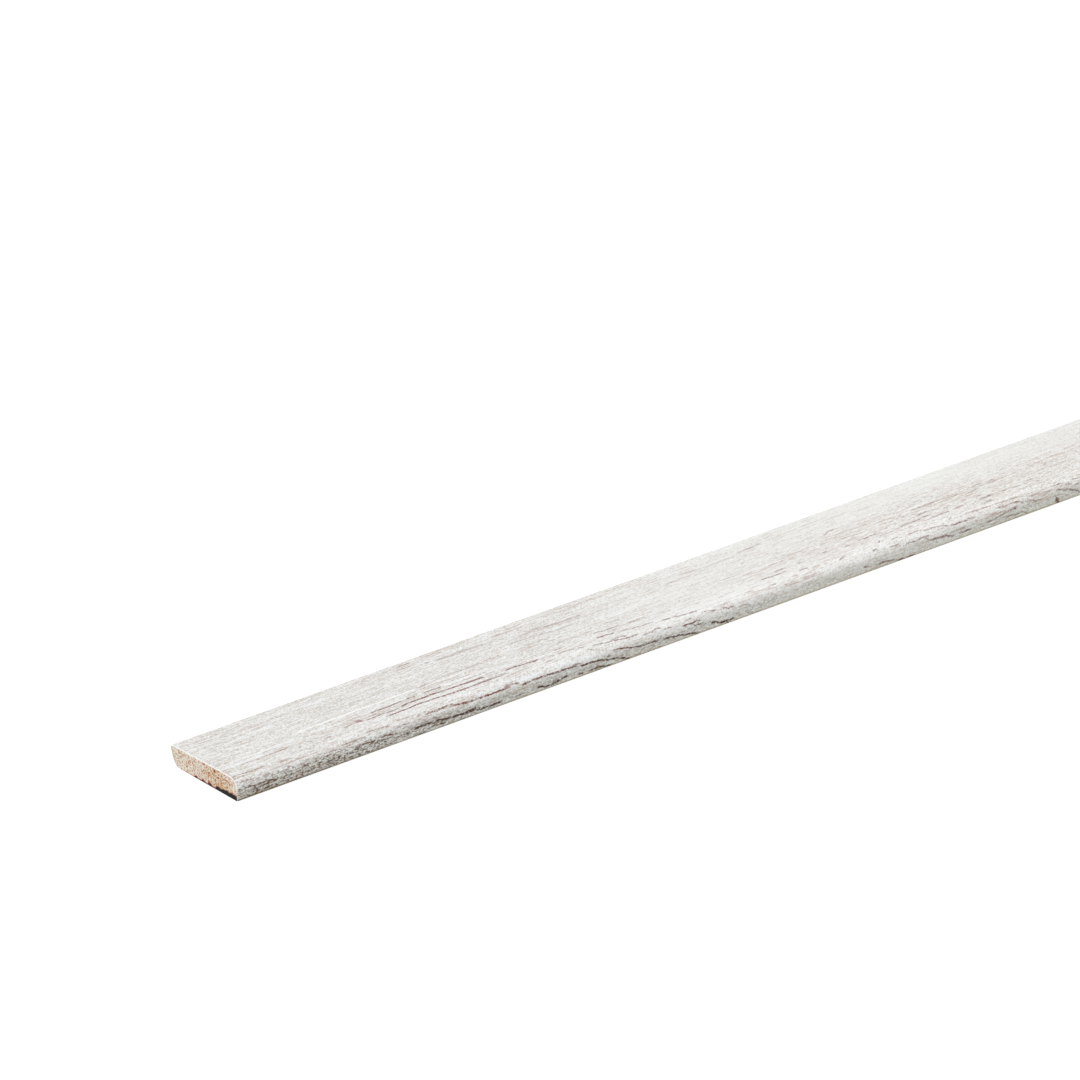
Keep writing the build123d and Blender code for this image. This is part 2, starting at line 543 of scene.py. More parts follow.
    ([(205, 23.9), (208, 24.5)], 0.6, 0.35),
    ([(220, 23.2), (226, 23.3)], 0.7, 0.5),
    ([(222, 49.2), (228, 49.2), (238, 48.3), (252, 47.8), (259, 48)], 1.2, 0.3),
    ([(206, 44.2), (220, 43.6), (228, 42.8), (236, 42), (250, 41.5)], 0.6, 0.3),
    ([(226, 28.7), (231, 29.2), (241, 28.8)], 1.0, 0.25),
    ([(246, 20.6), (250, 20.2), (254, 20.2), (255, 19.6), (259, 19.9)], 0.7, 0.7),
    ([(248, 25.7), (252, 25.6), (255, 24.9), (262, 24.9), (267, 25.5)], 0.6, 0.45),
    ([(256, 22), (258, 22.3), (264, 22.1)], 0.55, 0.3),
    ([(262, 18.5), (266, 18.6), (268, 17.2), (271, 17.6), (274, 16.6), (277, 16.8), (283, 16.4)], 0.6, 0.45),
    ([(270, 23.7), (279, 23.9), (283, 23.7)], 0.6, 0.5),
    ([(261, 31.4), (263, 31.6), (266, 30.5), (272, 30.4)], 0.7, 0.3),
    ([(291, 21.3), (294, 21.6)], 0.6, 0.4),
    ([(296, 21.4), (299, 21.9)], 0.6, 0.45),
    ([(308, 27), (310, 27.8)], 0.6, 0.3),
    ([(313, 19.1), (316, 19)], 0.7, 0.4),
    ([(327, 16.7), (331, 17.3)], 0.6, 0.45),
    ([(358, 19.2), (363, 19.1), (367, 18.7), (372, 18.7), (374, 19), (377, 18.5)], 0.6, 0.55),
    ([(369, 22.3), (373, 22.3), (379, 23)], 0.8, 0.5),
    ([(363, 40.7), (366, 41.5)], 0.7, 0.35),
    ([(370, 53), (380, 53.4), (388, 54)], 0.8, 0.3),
    ([(380, 42), (383, 41.7)], 0.9, 0.35),
    ([(380, 29.5), (383, 30)], 0.6, 0.35),
    ([(385, 39.5), (388, 37.2)], 1.0, 0.3),
    ([(386, 22), (389, 22.4)], 0.7, 0.35),
    ([(404, 23.7), (409, 24.2)], 0.5, 0.35),
    ([(418, 21.3), (421, 21.8), (424, 21.5)], 0.7, 0.4),
    ([(409, 32), (416, 32.3)], 0.6, 0.3),
    ([(418, 39.5), (421, 40), (425, 42), (431, 42)], 0.8, 0.35),
    ([(423, 30.8), (428, 31)], 0.5, 0.35),
    ([(429, 22.5), (432, 23.6), (434, 22.9), (438, 23.5), (444, 23.7)], 0.6, 0.55),
    ([(441, 20.2), (447, 20.2), (458, 19)], 0.6, 0.3),
    ([(450, 25.6), (453, 25.5)], 0.8, 0.35),
    ([(457, 21.7), (462, 22.4), (466, 22.2), (474, 22.6)], 0.75, 0.45),
    ([(460, 18.4), (464, 18)], 0.7, 0.4),
    ([(466, 32.2), (469, 33.7)], 0.8, 0.35),
    ([(472, 40.7), (475, 41.6)], 0.9, 0.35),
    ([(473, 27), (479, 27.5), (483, 27.1)], 1.0, 0.4),
    ([(474, 23.3), (481, 22.9)], 1.0, 0.45),
    ([(475, 33.9), (480, 33.7), (487, 33.7), (493, 34.1)], 0.7, 0.42),
    ([(477, 19.5), (482, 20), (488, 20), (492, 20.2)], 0.8, 0.42),
    ([(482, 40.8), (489, 40.8)], 0.6, 0.3),
    ([(490, 24), (495, 24.5)], 0.9, 0.42),
    ([(494, 20.2), (500, 20.8), (504, 20.4)], 0.7, 0.45),
    ([(494, 39.5), (497, 40)], 0.7, 0.35),
    ([(503, 24.2), (508, 25)], 0.5, 0.35),
    ([(501, 32.5), (509, 33)], 0.6, 0.35),
    ([(508, 38.5), (511, 40)], 0.8, 0.35),
    ([(509, 15.5), (519, 16.5)], 1.2, 0.3),
    ([(511, 24), (519, 24.6)], 0.6, 0.35),
    ([(512, 20.8), (517, 20.7), (523, 21.3)], 1.1, 0.45),
    ([(511, 30.6), (517, 31), (523, 32)], 0.7, 0.35),
    ([(521, 35.6), (528, 36)], 0.8, 0.3),
    ([(531, 34.5), (536, 35.3)], 0.8, 0.35),
    ([(529, 20.3), (533, 21)], 0.8, 0.4),
    ([(536, 20.2), (542, 21)], 0.6, 0.35),
    ([(542, 30.2), (548, 30.6)], 0.6, 0.3),
    ([(545, 41.4), (549, 41.9)], 0.6, 0.3),
    ([(547, 22.3), (553, 22.6)], 0.9, 0.4),
    ([(551, 17.6), (554, 18.3)], 0.6, 0.35),
    ([(568, 30.8), (572, 32.6)], 0.8, 0.3),
    ([(573, 21.3), (577, 21.4)], 0.8, 0.35),
    ([(588, 23.2), (607, 22.6)], 0.6, 0.5),
    ([(582, 17.5), (596, 16.9)], 0.6, 0.4),
    ([(596, 30.8), (612, 30.4)], 0.6, 0.35),
]

# Pale streaks of the print, in the same form.
STREAKS = [
    ([(58, 33.6), (72, 33.2), (85, 33.5), (100, 34), (118, 33.7), (137, 33.7)], 0.8, 0.9),
    ([(0, 27.2), (20, 27.4), (51, 27)], 0.8, 0.55),
    ([(0, 23.6), (28, 23.6)], 0.7, 0.4),
    ([(32, 33.4), (44, 33.2)], 0.7, 0.5),
    ([(57, 56.4), (70, 56.6)], 0.7, 0.5),
    ([(149, 33.8), (168, 34)], 0.8, 0.6),
    ([(149, 27.3), (170, 27)], 0.9, 0.6),
    ([(150, 30.2), (164, 30.3), (174, 30.1)], 0.6, 0.5),
    ([(152, 40), (175, 40.3)], 0.6, 0.4),
    ([(190, 55), (202, 54.9)], 0.8, 0.5),
    ([(304, 57.4), (316, 57.4)], 0.8, 0.4),
    ([(476, 29.2), (500, 29.3)], 0.8, 0.5),
]

# Marks that share a curve lie at least this far apart, on a stretch no longer than this. A mark reaches
# at most so far to either side, fades in and out over so much of its length, and is full across this
# share of its width.
MARK_GAP = 2.5
TRACK_SPAN = 200
MOST_WIDTH = 3.0
MARK_FADE = 2.0
MARK_CORE = 0.45


def tracks_of(marks):
    """Groups marks that don't overlap along the board, so that one curve can draw a whole group."""
    tracks = []
    for mark in sorted(marks, key=lambda m: m[0][0][0]):
        first, last = mark[0][0][0], mark[0][-1][0]
        for track in tracks:
            track_first, track_last = track[0][0][0][0], track[-1][0][-1][0]
            if first - track_last > MARK_GAP and last - track_first < TRACK_SPAN:
                track.append(mark)
                break
        else:
            tracks.append([mark])
    return tracks


PRINT_WHITE = paint(246, 249, 250)
PRINT_WARM_WHITE = paint(247, 249, 248)
PRINT_SHADE = paint(186, 174, 158)
GRAIN_BROWN = paint(168, 130, 112)
VEIN_ON_FACE = paint(120, 72, 58)
VEIN_ON_NOSE = paint(78, 48, 32)
NOSE_GRIT = paint(94, 60, 28)
HEM_BROWN = paint(112, 92, 38)
HEM_OLIVE = paint(190, 178, 118)
NOSE_TINT = paint(253, 254, 250)
STREAK_WHITE = paint(253, 253, 253)
PAPER_WHITE = paint(247, 248, 250)
PAPER_GREY = paint(238, 237, 235)
PAPER_BRIGHT = paint(252, 252, 252)
PAPER_PAINTED_SHADE = paint(184, 178, 166)

# Layers of the print's grain, of the grit on its nose and of the waver of its drawn marks: length along
# and width round in millimetres, strength, and a seed.
GRAIN_LAYERS = [
    (110, 9, 0.12, 2.1),
    (60, 1.3, 0.50, 5.3),
    (24, 2.4, 0.20, 1.2),
    (12, 0.8, 0.80, 8.8),
    (2.4, 0.8, 1.00, 3.1),
    (0.8, 0.7, 1.25, 7.4),
]
GRIT_LAYERS = [
    (2.2, 0.75, 0.9, 7.7),
    (0.9, 0.7, 0.5, 2.6),
    (13, 1.4, 0.35, 5.9),
]
WAVER_LAYERS = [
    (14, 5, 0.4, 1.7),
    (1.2, 1.0, 1.6, 4.2),
]
MEAN_SHADE = 0.39

# Soft patches of the print and of painted light, in millimetres along and round: the middle and the half
# size of each.
CALM = ((345, 40), (150, 60))
SMOOTH = ((560, 64), (230, 34))
# Painted light: a paler patch where the face is lit brighter farther along.
PAINTED_LIGHT_PATCH = ((410, 35), (230, 90))
# Painted highlight: a paler band over the crest of the nose.
CREST_PAINTED_LIGHT = ((340, 14), (260, 9))
BUSY = ((475, 29), (180, 23))
SMUDGE = ((15, 3), (255, 9))
HAZE = ((280, 3), (190, 9))
NEAR_FOOT = ((30, 0), (80, 5))

# The smudge may start up to this far before a repeat of the shades.
SMUDGE_BEFORE = 240

# Noise is even at its own zero, so the board starts this many millimetres along it.
NOISE_START = 41.7


class FoilPrint(Recipe):
    """The recipe of the print, which knows where a point lies on the unrolled foil."""

    def __init__(self, owner):
        super().__init__(owner)
        self.along, self.round, _ = self.split(self.attribute("unrolled")["Vector"])
        self.local = self.math("FLOORED_MODULO", self.along, SHADE_REPEAT)
        far_along = self.plus(self.along, NOISE_START)
        self.spot = self.join(far_along, self.round)
        bend = self.swing(self.spot, (70, 22), 5.0, 9.9)
        self.grain_place = self.join(far_along, self.plus(self.round, bend))
        self.smooth = self.shade_patch(SMOOTH)
        contrast = self.minus(1.1, self.times(self.shade_patch(CALM), 0.4))
        self.contrast = self.minus(contrast, self.times(self.smooth, 0.6))

    def shade_patch(self, shape):
        """A patch that comes back with every repeat of the shades."""
        return self.patch(self.local, self.round, *shape)

    def layered(self, place, layers):
        """The sum of several layers of noise, which swings about 0."""
        total = 0.0
        for length, width, strength, seed in layers:
            total = self.plus(total, self.swing(place, (length, width), strength, seed))
        return total

    def pale_grain(self):
        """Pale grain with grey-brown streaks, from long and broad to short and fine, and two patches of
        painted light: colour and shade.
        """
        grain = self.layered(self.grain_place, GRAIN_LAYERS)
        # Painted light: the print is made paler over the patch where the face is lit brighter.
        mean = self.ramp(self.shade_patch(PAINTED_LIGHT_PATCH), 0.0, 1.0, MEAN_SHADE, MEAN_SHADE - 0.06)
        # Painted highlight: the print is made paler on the crest of the nose.
        mean = self.minus(mean, self.times(self.shade_patch(CREST_PAINTED_LIGHT), 0.07))
        mean = self.minus(mean, self.times(self.smooth, 0.07))
        shade = self.plus(self.times(grain, self.contrast), mean)
        warming = self.ramp(self.local, 180.0, 400.0)
        warm = self.times(warming, self.ramp(self.local, 640.0, 800.0, 1.0, 0.0))
        white = self.blend(warm, PRINT_WHITE, PRINT_WARM_WHITE)
        return self.blend(self.ramp(shade, 0.0, 1.0), white, PRINT_SHADE), shade

    def brown_lines(self, color):
        """Adds thin broken brown lines, thicker on the ground in some places than in others."""
        lines = self.ramp(self.noise(self.grain_place, (13, 0.9), 6.4), 0.54, 0.66)
        where = self.ramp(self.noise(self.grain_place, (80, 9), 9.6, roughness=0.5), 0.42, 0.62)
        where = self.times(where, self.minus(1.0, self.smooth))
        color = self.blend(self.times(self.times(lines, where), 0.6), color, GRAIN_BROWN)
        dashes = self.ramp(self.noise(self.grain_place, (6, 0.8), 1.6), 0.49, 0.63)
        dashes = self.times(dashes, self.shade_patch(BUSY))
        color = self.blend(self.times(dashes, 0.4), color, GRAIN_BROWN)
        flecks = self.ramp(self.noise(self.spot, (1.9, 0.8), 5.2), 0.55, 0.7, 0.0, 0.2)
        return self.blend(self.times(flecks, self.contrast), color, GRAIN_BROWN)

    def dark_nose(self, color):
        """Darkens the lower nose, which is full of grit by the near end."""
        foot = self.ramp(self.round, 5.0, 9.0, 1.0, 0.0)
        from_repeat = self.math("WRAP", self.along, SHADE_REPEAT - SMUDGE_BEFORE, -SMUDGE_BEFORE)
        smudge = self.patch(from_repeat, self.round, *SMUDGE)
        faint = self.plus(self.times(foot, 0.1), self.times(self.shade_patch(HAZE), 0.32))
        grit = self.ramp(self.layered(self.spot, GRIT_LAYERS), -0.05, 0.14)
        color = self.blend(self.times(grit, self.math("MAXIMUM", smudge, faint)), color, NOSE_GRIT)
        near_foot = self.patch(self.along, self.round, *NEAR_FOOT)
        color = self.blend(self.times(near_foot, 0.16), color, NOSE_GRIT)
        color = self.blend(foot, color, NOSE_TINT, "MULTIPLY")

        # The trimmed edge along the foot of the nose is tinted a pale olive, and darker brown by the near
        # end.
        hem_amount = self.ramp(self.noise(self.spot, (26, 4), 3.3), 0.35, 0.6, 0.25, 0.65)
        hem_amount = self.math("MAXIMUM", hem_amount, self.ramp(self.along, 30.0, 110.0, 0.9, 0.0))
        hem = self.times(self.ramp(self.round, 0.6, 1.6, 1.0, 0.0), hem_amount)
        return self.blend(hem, color, self.blend(smudge, HEM_OLIVE, HEM_BROWN))

    def track_mask(self, track, along, up):
        """How dark one track's marks are at a place: 1 on the middle of a full mark, 0 away from it."""
        start = track[0][0][0][0]
        span = track[-1][0][-1][0] - start
        height, width, tone = [], [], []
        for points, mark_width, mark_tone in track:
            shares = [(x - start) / span for x, _ in points]
            first, last = shares[0], shares[-1]
            height += [(share, y / SHEET_HEIGHT) for share, (_, y) in zip(shares, points)]
            width += [(first, mark_width / MOST_WIDTH), (last, mark_width / MOST_WIDTH)]
            inset = min(MARK_FADE / span, (last - first) / 4)
            tone += [(first, 0), (first + inset, mark_tone), (last - inset, mark_tone), (last, 0)]
        drawn = ((height, "AUTO_CLAMPED"), (width, "VECTOR"), (tone, "VECTOR"))
        share = self.over(self.minus(along, start), span)
        channels = self.curves("ShaderNodeRGBCurve", "Color", share, drawn)
        line, breadth, strength = self.wire("ShaderNodeSeparateColor", {0: channels})
        off = self.math("ABSOLUTE", self.minus(up, self.times(line, SHEET_HEIGHT)))
        across = self.over(off, self.times(breadth, MOST_WIDTH))
        return self.times(self.ramp(across, MARK_CORE, 1.0, 1.0, 0.0), strength)

    def marks_mask(self, marks, along, up):
        """The darkest of all marks at a place."""
        total = 0.0
        for track in tracks_of(marks):
            total = self.math("MAXIMUM", self.track_mask(track, along, up), total)
        return total

    def drawn_marks(self, color):
        """Adds the streaks and veins, which waver as wood grain does: colour, and where the veins are."""
        turn = self.math("FLOOR", self.over(self.along, MARK_REPEAT))
        climbed = self.minus(self.round, self.times(turn, MARK_CLIMB))
        up = self.math("FLOORED_MODULO", climbed, MARK_WRAP)
        up = self.plus(up, self.layered(self.spot, WAVER_LAYERS))
        along = self.math("FLOORED_MODULO", self.along, MARK_REPEAT)
        streaks = self.marks_mask(STREAKS, along, up)
        color = self.blend(self.times(streaks, 0.9), color, STREAK_WHITE)

        # The veins are broken along their length, and paler on the face and farther along.
        veins = self.marks_mask(VEINS, along, up)
        gaps = self.ramp(self.noise(self.spot, (3.2, 1.1), 2.9), 0.34, 0.54, 0.5, 1.0)
        beads = self.noise(self.spot, (1.4, 0.9), 6.6, detail=1, roughness=0.5)
        broken = self.times(gaps, self.ramp(beads, 0.36, 0.56, 0.45, 1.0))
        inked = self.math("MINIMUM", self.times(self.times(veins, broken), 1.6), 1.0)
        paler_along = self.ramp(along, 340.0, 430.0, 0.0, 0.8)
        pale = self.math("MAXIMUM", self.ramp(self.round, 4.0, 10.0), paler_along)
        return self.blend(inked, color, self.blend(pale, VEIN_ON_NOSE, VEIN_ON_FACE)), veins

    def chipped_rims(self, color):
        """Chips the print back to the white base of the foil at the saw cuts."""
        from_end = self.math("MINIMUM", self.along, self.minus(LENGTH / MM, self.along))
        ragged = self.plus(from_end, self.swing(self.spot, (1.6, 1.2), 1.0, 4.2))
        chipped = self.times(self.ramp(ragged, 0.15, 0.4, 1.0, 0.0), self.ramp(self.round, 3.0, 8.0))
        return self.blend(chipped, color, PAPER_WHITE)


def foil_print_material():
    """Matt decor foil, printed with whitewashed wood grain."""
    recipe = FoilPrint(bpy.data.materials.new("whitewashed_grain_foil"))
    color, shade = recipe.pale_grain()
    color = recipe.brown_lines(color)
    color = recipe.dark_nose(color)
    color, veins = recipe.drawn_marks(color)
    color = recipe.chipped_rims(color)
    roughness = recipe.ramp(shade, 0.0, 0.6, 0.5, 0.6)
    height = recipe.minus(1.0, recipe.plus(shade, veins))
    return recipe.finish(color, roughness, height, bump_distance=0.03 * MM, specular=0.35)


def foil_paper_material():
    """The foil's white base, which shows on its cut edges and its glued side, with painted shade near the
    back.
    """
    recipe = Recipe(bpy.data.materials.new("foil_base"))
    place = recipe.place()
    _, _, z = recipe.split(place)
    mottle = recipe.noise(place, (0.6, 0.6, 0.6), 1.1)
    color = recipe.blend(mottle, PAPER_GREY, PAPER_BRIGHT)
    # Painted shade: the base turns grey-beige towards the back, where the foot of the nose is in shade.
    color = recipe.blend(recipe.ramp(z, 4.0, 8.0, 0.8, 0.0), color, PAPER_PAINTED_SHADE)
    return recipe.finish(color, 0.7, mottle, bump_distance=0.02 * MM, specular=0.3)


# Fibreboard core

CORE_STEP = 0.32 * MM
CORE_ROWS = 5
SAWN_SLOT = 0
BACK_SLOT = 1

# Relief of the sawn ends: small pores strewn at random, their radius in millimetres, and torn fibres.
PORE_COUNT = 150
PORE_SEED = 5
PORE_RADIUS = (0.25, 0.5)
PORE_STRENGTH = (0.05, 0.3)
PORE_DEPTH = 0.2 * MM
SAW_DEPTH = 0.1 * MM
TEAR_SIZE = (1.1 * MM, 0.9 * MM)
TEAR_SEEDS = (7.3, 27.3)
TEAR_ROUGHNESS = 1.0
TEAR_STEP = 2.0
TEAR_LAYERS = 3

# Grid of the sawn ends: its rows rise by a share of its spacing, its points keep another share clear of
# the outline, and its triangles fill the inside only.
GRID_RISE = 0.866
GRID_CLEAR = 0.6
INSIDE_ONLY = 1
MERGE_BELOW = 1e-9

# The core's bake map has a strip for each sawn end, and rows along the board above them.
END_LENGTH = (0.01, 0.99)
END_STRIPS = ((0.01, 0.21), (0.23, 0.43))
ROWS_STRIP = (0.46, 1.0)
BACK_STRIP = (0.02, 0.87)
SIDES_STRIP = (0.9, 0.98)
ON_BACK = 0.001 * MM

# The near end's largest pores: across the board, above the back and radius in millimetres, and depth.
LARGE_PORES = [
    (-8.8, 9.9, 1.0, 1.0), (-11.8, 7.3, 0.8, 0.9), (-4.4, 7.2, 0.75, 0.6), (-21.4, 7.1, 0.8, 0.65),
    (0.2, 7.1, 0.6, 0.8), (14.3, 3.6, 0.8, 0.7), (-7.2, 8, 0.6, 0.9), (-7.7, 10.6, 0.5, 0.5),
    (-9.5, 7.3, 0.55, 0.5), (-20.8, 11, 0.5, 0.4), (12.3, 7.8, 0.6, 0.5), (23.5, 7.4, 0.55, 0.5),
    (20.5, 6.8, 0.6, 0.5), (8.8, 8.8, 0.55, 0.4), (14.8, 4.7, 0.5, 0.4), (4, 4.1, 0.5, 0.4),
    (-15.2, 3.8, 0.5, 0.4), (-17.8, 10.8, 0.6, 0.3), (26, 8.6, 0.5, 0.5), (15.6, 6, 0.5, 0.3),
]


def inside_section(outline, spacing):
    """Points on a triangular grid inside the outline, kept a little clear of it."""
    low_y = min(y for y, _ in outline)
    high_y = max(y for y, _ in outline)
    high_z = max(z for _, z in outline)
    kept = []
    rows = int(high_z / (spacing * GRID_RISE))
    for row in range(1, rows + 1):
        z = row * spacing * GRID_RISE
        crossings = []
        for (y0, z0), (y1, z1) in zip(outline, outline[1:] + outline[:1]):
            if (z0 > z) != (z1 > z):
                crossings.append(y0 + (z - z0) * (y1 - y0) / (z1 - z0))
        if len(crossings) < 2:
            continue
        start, end = min(crossings) + spacing * GRID_CLEAR, max(crossings) - spacing * GRID_CLEAR
        y = low_y + (row % 2) * spacing / 2
        while y < high_y:
            if start < y < end:
                kept.append((y, z))
            y += spacing
    return kept


def spaced(points, spacing):
    """A closed outline with its long edges divided into steps of about the spacing."""
    out = []
    for (y0, z0), (y1, z1) in zip(points, points[1:] + points[:1]):
        steps = max(1, round(math.dist((y0, z0), (y1, z1)) / spacing))
        out += [(y0 + (y1 - y0) * i / steps, z0 + (z1 - z0) * i / steps) for i in range(steps)]
    return out


def end_pores(dice, end):
    """A sawn end's pores: middle, radius and depth. The near end has the photo's large ones too."""
    pores = []
    for _ in range(PORE_COUNT):
        center = (dice.uniform(CORE_NOSE, CORE_FLOOR), dice.uniform(0, CORE_TOP))
        pores.append((center, dice.uniform(*PORE_RADIUS) * MM, dice.uniform(*PORE_STRENGTH)))
    if end == 0:
        for across, up, radius, depth in LARGE_PORES:
            pores.append(((across * MM, up * MM), radius * MM, depth))
    return pores


def core_mesh():
    """The core as one closed mesh: long sides, and sawn ends with torn fibres and pores."""
    outline = spaced(wrapped_line(0, 0, CORE_STEP), CORE_STEP)
    rim = len(outline)
    flat = [Vector(spot) for spot in outline + inside_section(outline, CORE_STEP)]
    edges = [(i, (i + 1) % rim) for i in range(rim)]
    spots, _, triangles, _, _, _ = delaunay_2d_cdt(flat, edges, [], INSIDE_ONLY, MERGE_BELOW)
    build = bmesh.new()
    pit = build.verts.layers.float.new("pit")
    bake = build.loops.layers.uv.new("OFBake")
    dice = random.Random(PORE_SEED)
    ends = []
    for end, (x, inward) in enumerate(((NEAR_END, 1), (FAR_END, -1))):
        tears = sawn_relief(spots, end_pores(dice, end), rim, end)
        points = []
        places = []
        for (y, z), depth in zip(spots, tears):
            point = build.verts.new((x + inward * depth * PORE_DEPTH, y, z))
            point[pit] = depth
            points.append(point)
            across = (y - CORE_NOSE) / (CORE_FLOOR - CORE_NOSE)
            places.append((within(END_LENGTH, across), within(END_STRIPS[end], z / CORE_TOP)))
        ends.append(points)
        for triangle in triangles:
            order = triangle if end else triangle[::-1]
            corners = [points[i] for i in order]
            add_face(build, bake, corners, [places[i] for i in order], SAWN_SLOT, True)
    add_long_sides(build, outline, ends, bake)
    return finished(build, "fibreboard_core_sawn")


def sawn_relief(corners, pores, rim, end):
    """How deep each point of a sawn end lies, 0 on the cut and 1 at the bottom of the deepest pore."""
    depths = [0.0] * rim
    for y, z in corners[rim:]:
        tear = Vector((y / TEAR_SIZE[0], z / TEAR_SIZE[1], TEAR_SEEDS[end]))
        rough = noise.fractal(tear, TEAR_ROUGHNESS, TEAR_STEP, TEAR_LAYERS)
        depth = max(0.0, rough) * SAW_DEPTH / PORE_DEPTH
        for center, radius, strength in pores:
            away = math.dist((y, z), center) / radius
            if away < 1:
                depth = max(depth, strength * (1 - away * away))
        depths.append(min(depth, 1.0))
    return depths


def add_long_sides(build, outline, ends, bake):
    """The core's long sides, in lengths that follow the rows of its bake map."""
    rim = len(outline)
    loops = [ends[0][:rim]]
    for row in range(1, CORE_ROWS):
        x = NEAR_END + LENGTH * row / CORE_ROWS
        loops.append([build.verts.new((x, y, z)) for y, z in outline])
    loops.append(ends[1][:rim])
    back = (CORE_NOSE, CORE_FLOOR - UNDERCUT)
    for row in range(CORE_ROWS):
        here, there = loops[row], loops[row + 1]
        strip = row_strip(ROWS_STRIP, CORE_ROWS, row)
        for k in range(rim):
            after = (k + 1) % rim
            (y0, z0), (y1, z1) = outline[k], outline[after]
            if max(z0, z1) < ON_BACK:
                low, high = (within(BACK_STRIP, (y - back[0]) / (back[1] - back[0])) for y in (y0, y1))
            else:
                low, high = within(SIDES_STRIP, k / rim), within(SIDES_STRIP, (k + 1) / rim)
            corners = (here[k], there[k], there[after], here[after])
            add_face(build, bake, corners, oblong(strip, 0, 1, low, high), BACK_SLOT, False)


BOARD_CREAM = paint(221, 215, 201)
BOARD_TAN = paint(208, 188, 164)
BOARD_SPECK = paint(168, 103, 46)
PORE_RIM = paint(176, 110, 56)
BOARD_OCHRE = paint(206, 169, 110)
PORE_BROWN_AND_SHADE = paint(112, 46, 8)
BOARD_FIBRE = paint(238, 238, 232)
STAIN_BLACK = paint(34, 30, 30)
STAIN_BROWN = paint(70, 38, 26)
STAIN_RUST = paint(176, 108, 66)
BACK_TAN = paint(206, 182, 153)
BACK_CLOUD = paint(189, 163, 132)
BACK_FIBRE = paint(222, 203, 178)
BACK_DOT = paint(150, 118, 88)

# The ochre patch of a sawn end, in millimetres across and up: its middle and its half size.
OCHRE_PATCH = ((-11, 6.5), (17, 9))

# Height of the dark stain above the back at the near end, by distance from the nose, in millimetres.
STAIN_EDGE = [
    (0, 2.7), (3.2, 2.8), (5.2, 3.1), (6.8, 2.4), (8.8, 2.9), (10, 2.5), (11.8, 2.7), (13, 2.1), (15, 2.1),
    (16.6, 2.4), (17.8, 1.8), (19, 0.6), (20.4, 0.7), (22, 1.2), (23.7, 1.9), (25.2, 0.6), (27, 0.6),
    (28.6, 1.4), (30.4, 0.5), (33, 0.5), (34.6, 1.1), (36.2, 0.4), (39, 0), (41.5, 0.2), (43.5, 0),
    (45.5, 0.2), (48, 0), (50, 0),
]
STAIN_LENGTH = 50
STAIN_TOP = 4


def sawn_end_material():
    """Sawn fibreboard: pale fibres, brown specks, pores with painted shade in their depths, and the dark
    stain at the near end's foot.
    """
    recipe = Recipe(bpy.data.materials.new("sawn_fibreboard"))
    place = recipe.place()
    _, y, z = recipe.split(place)
    pit = recipe.attribute("pit")["Fac"]
    clouds = recipe.ramp(recipe.noise(place, (6, 3, 2.2), 1.3, detail=3), 0.36, 0.66, 0.0, 0.3)
    color = recipe.blend(clouds, BOARD_CREAM, BOARD_TAN)
    ochre = recipe.patch(y, z, *OCHRE_PATCH)
    glow = recipe.ramp(recipe.noise(place, (6, 4, 3), 6.1, roughness=0.5), 0.36, 0.66, 0.05, 0.65)
    color = recipe.blend(recipe.times(ochre, glow), color, BOARD_OCHRE)
    fibres = recipe.ramp(recipe.noise(place, (6, 0.75, 0.6), 7.5), 0.53, 0.64, 0.0, 0.95)
    color = recipe.blend(fibres, color, BOARD_FIBRE)
    specks = recipe.noise(place, (6, 0.7, 0.62), 4.4, detail=1)
    specks = recipe.plus(specks, recipe.times(ochre, 0.043))
    color = recipe.blend(recipe.ramp(specks, 0.535, 0.635), color, BOARD_SPECK)
    # Pores darken with depth: their own brown near the rim, and painted shade deeper in.
    color = recipe.blend(recipe.ramp(pit, 0.08, 0.45, 0.0, 0.85), color, PORE_RIM)
    color = recipe.blend(recipe.ramp(pit, 0.3, 0.7, 0.0, 0.95), color, PORE_BROWN_AND_SHADE)
    color = foot_stain(recipe, place, color)
    fuzz = recipe.noise(place, (1, 0.35, 0.3), 9.2, detail=3, roughness=0.7)
    return recipe.finish(color, 0.85, fuzz, bump_distance=0.08 * MM, specular=0.2)


def foot_stain(recipe, place, color):
    """Adds the near end's stain: black near the nose, thinning out to brown spots, with a rusty rim."""
    x, y, z = recipe.split(place)
    from_nose = recipe.minus(y, cad_low[1] / MM)
    points = [(off_nose / STAIN_LENGTH, height / STAIN_TOP) for off_nose, height in STAIN_EDGE]
    share = recipe.over(from_nose, STAIN_LENGTH)
    edge = recipe.curves("ShaderNodeFloatCurve", "Value", share, [(points, "AUTO_CLAMPED")])
    top = recipe.times(edge, STAIN_TOP)
    lumps = recipe.swing(place, (3, 0.8, 0.8), 2.2, 3.8)
    top = recipe.plus(top, recipe.times(lumps, recipe.math("MINIMUM", top, 1.0)))
    above = recipe.minus(z, top)
    near = recipe.ramp(x, 0.0, 1.0, 1.0, 0.0)
    stained = recipe.times(near, recipe.ramp(from_nose, 36.0, 50.0, 1.0, 0.2))
    rust = recipe.times(recipe.ramp(above, 0.1, 1.1, 0.7, 0.0), stained)
    soaked = recipe.times(recipe.ramp(above, -0.2, 0.12, 1.0, 0.0), stained)
    stain = recipe.blend(recipe.ramp(from_nose, 16.5, 20.0), STAIN_BLACK, STAIN_BROWN)
    return recipe.blend(soaked, recipe.blend(rust, color, STAIN_RUST), stain)


